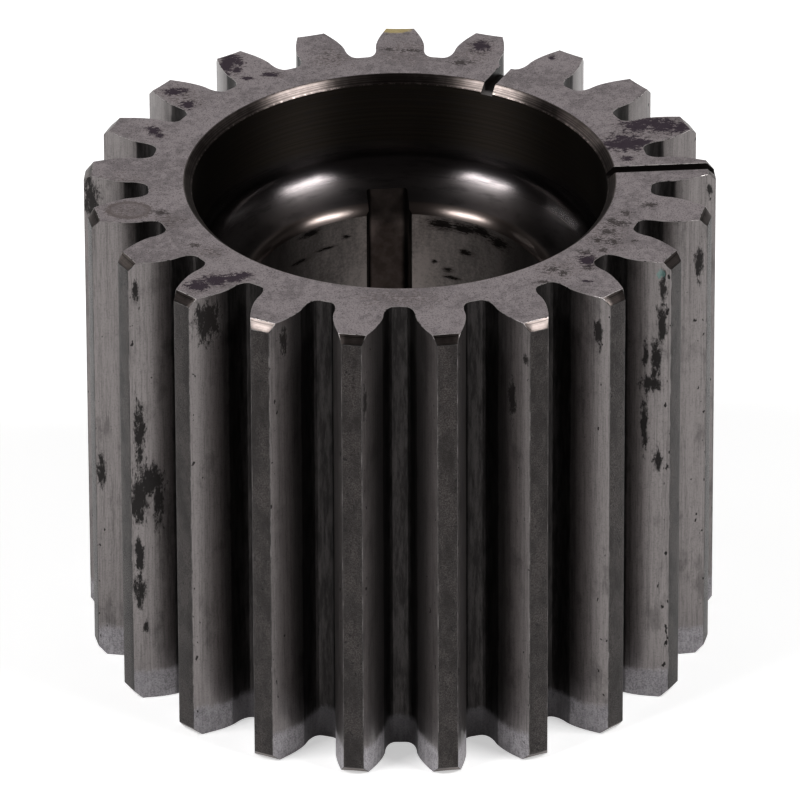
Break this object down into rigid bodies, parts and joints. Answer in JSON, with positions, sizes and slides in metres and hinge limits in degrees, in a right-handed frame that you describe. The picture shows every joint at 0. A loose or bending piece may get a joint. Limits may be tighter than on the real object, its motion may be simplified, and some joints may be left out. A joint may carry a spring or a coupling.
{
  "type": "pinion gear",
  "caption": "Wide spur pinion gear of used steel, with a stepped round bore, a keyway in the lower bore and narrow radial slots in the upper face.",
  "frame": {"origin": "centre of the lower face, on the axis of the bores", "axes": "+Z along the axis from the lower face to the face with the wide bore; +Y runs through the middle of one tooth"},
  "size_m": [0.092, 0.0917, 0.0735],
  "materials": {
    "steel": "satin ground steel, used and stained"
  },
  "bodies": {
    "root": {"pinion_gear": "steel"}
  },
  "joints": []
}
